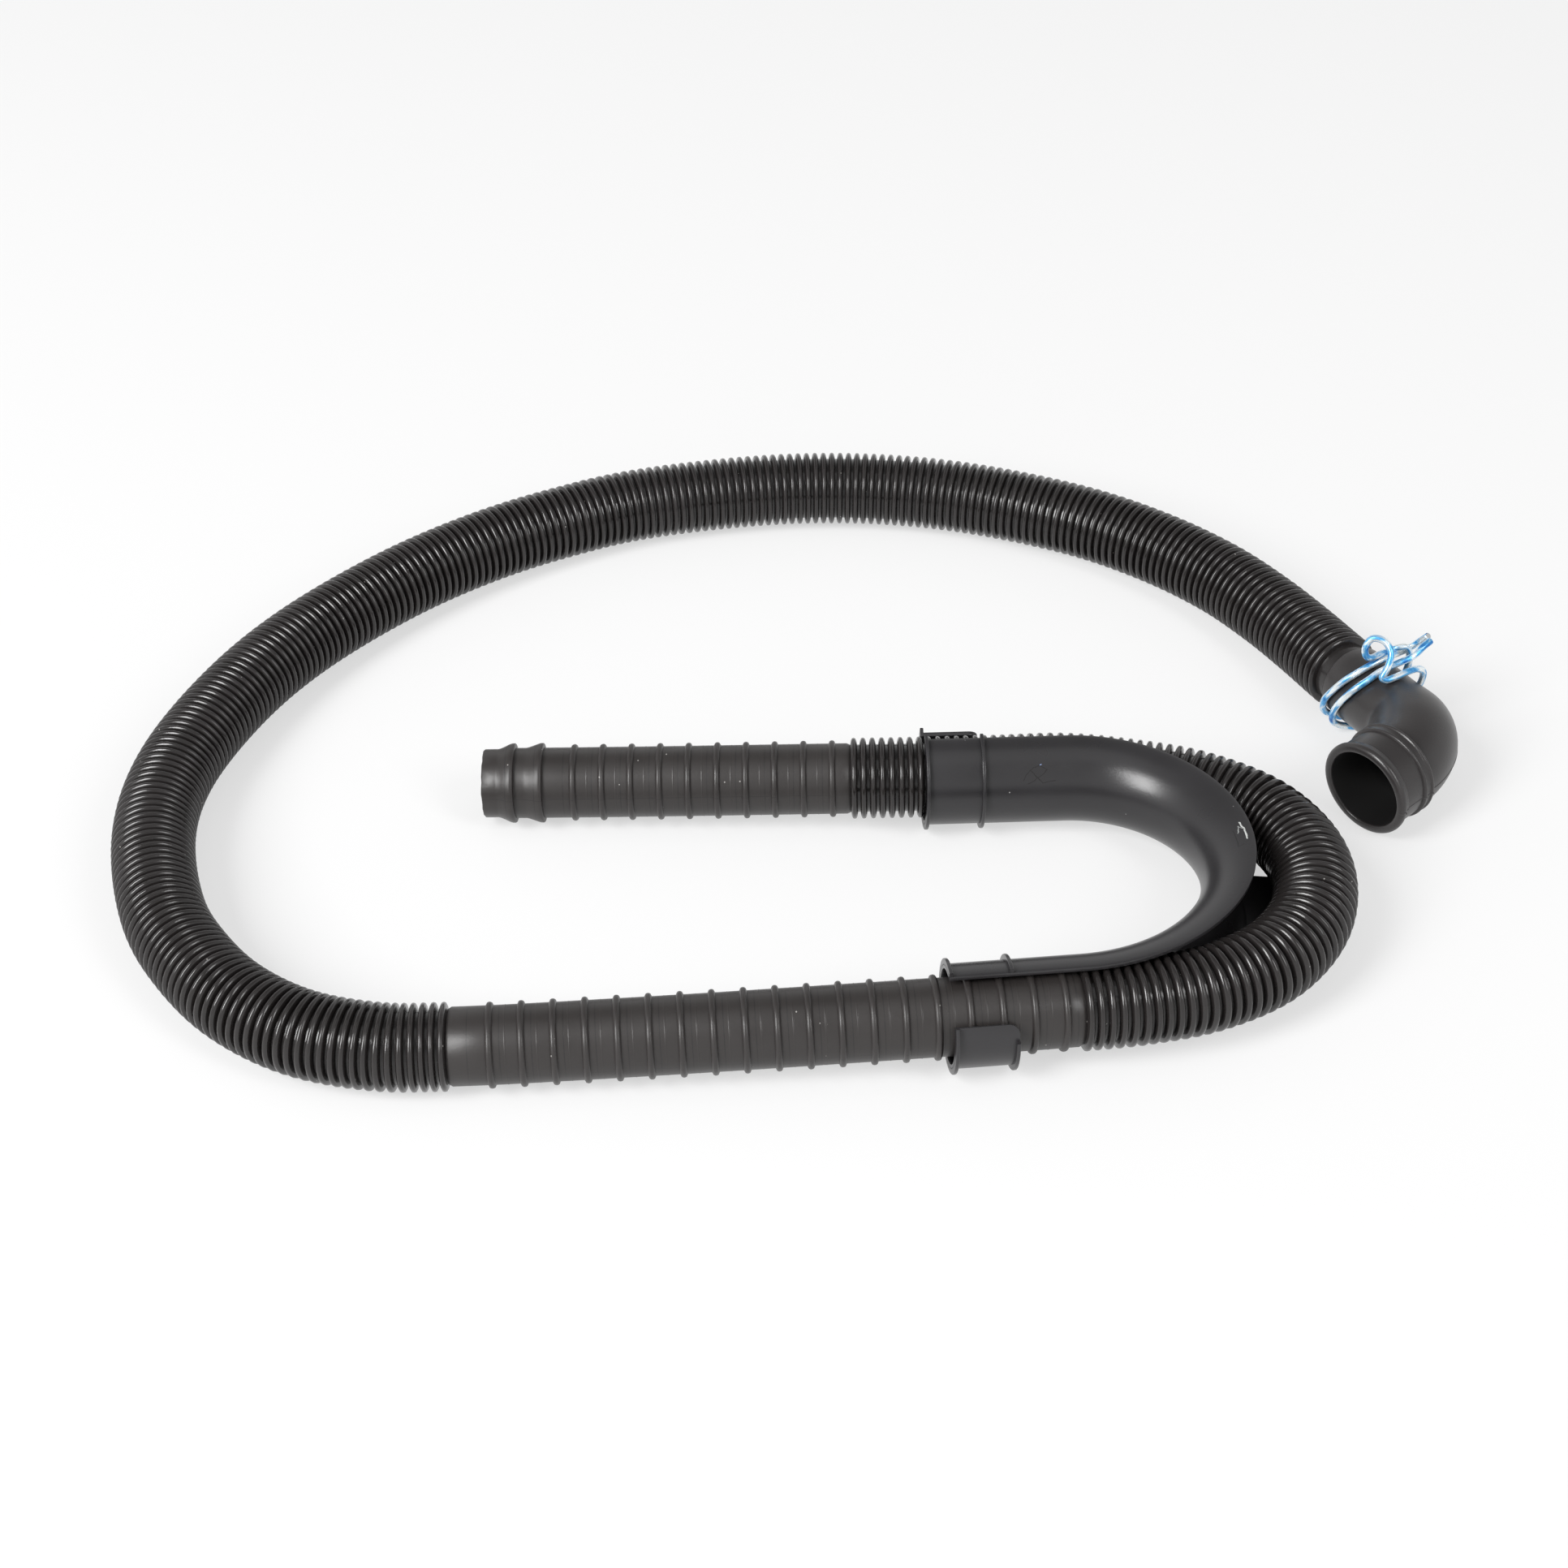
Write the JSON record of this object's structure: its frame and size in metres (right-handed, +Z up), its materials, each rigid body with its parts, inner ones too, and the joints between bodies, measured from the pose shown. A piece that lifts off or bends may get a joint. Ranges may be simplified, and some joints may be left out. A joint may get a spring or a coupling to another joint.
{
  "type": "appliance drain hose",
  "caption": "Corrugated drain hose in a loop, with a rubber elbow boot, a wire spring clamp and a moulded U-bend guide.",
  "frame": {"origin": "centre of the bounding box at the surface the set lies on", "axes": "+Z up from the surface; +X to the right in the picture, along the longest extent; +Y away from the camera"},
  "size_m": [0.5296, 0.3941, 0.0521],
  "materials": {
    "hose_plastic": "semi-gloss dark polypropylene",
    "boot_rubber": "matte black rubber",
    "clamp_wire": "zinc-plated spring wire with a patchy blue passivation",
    "guide_plastic": "satin black moulded plastic"
  },
  "bodies": {
    "root": {"drain_hose": "hose_plastic", "elbow_boot": "boot_rubber", "hose_clamp": "clamp_wire", "hose_guide": "guide_plastic"}
  },
  "joints": []
}
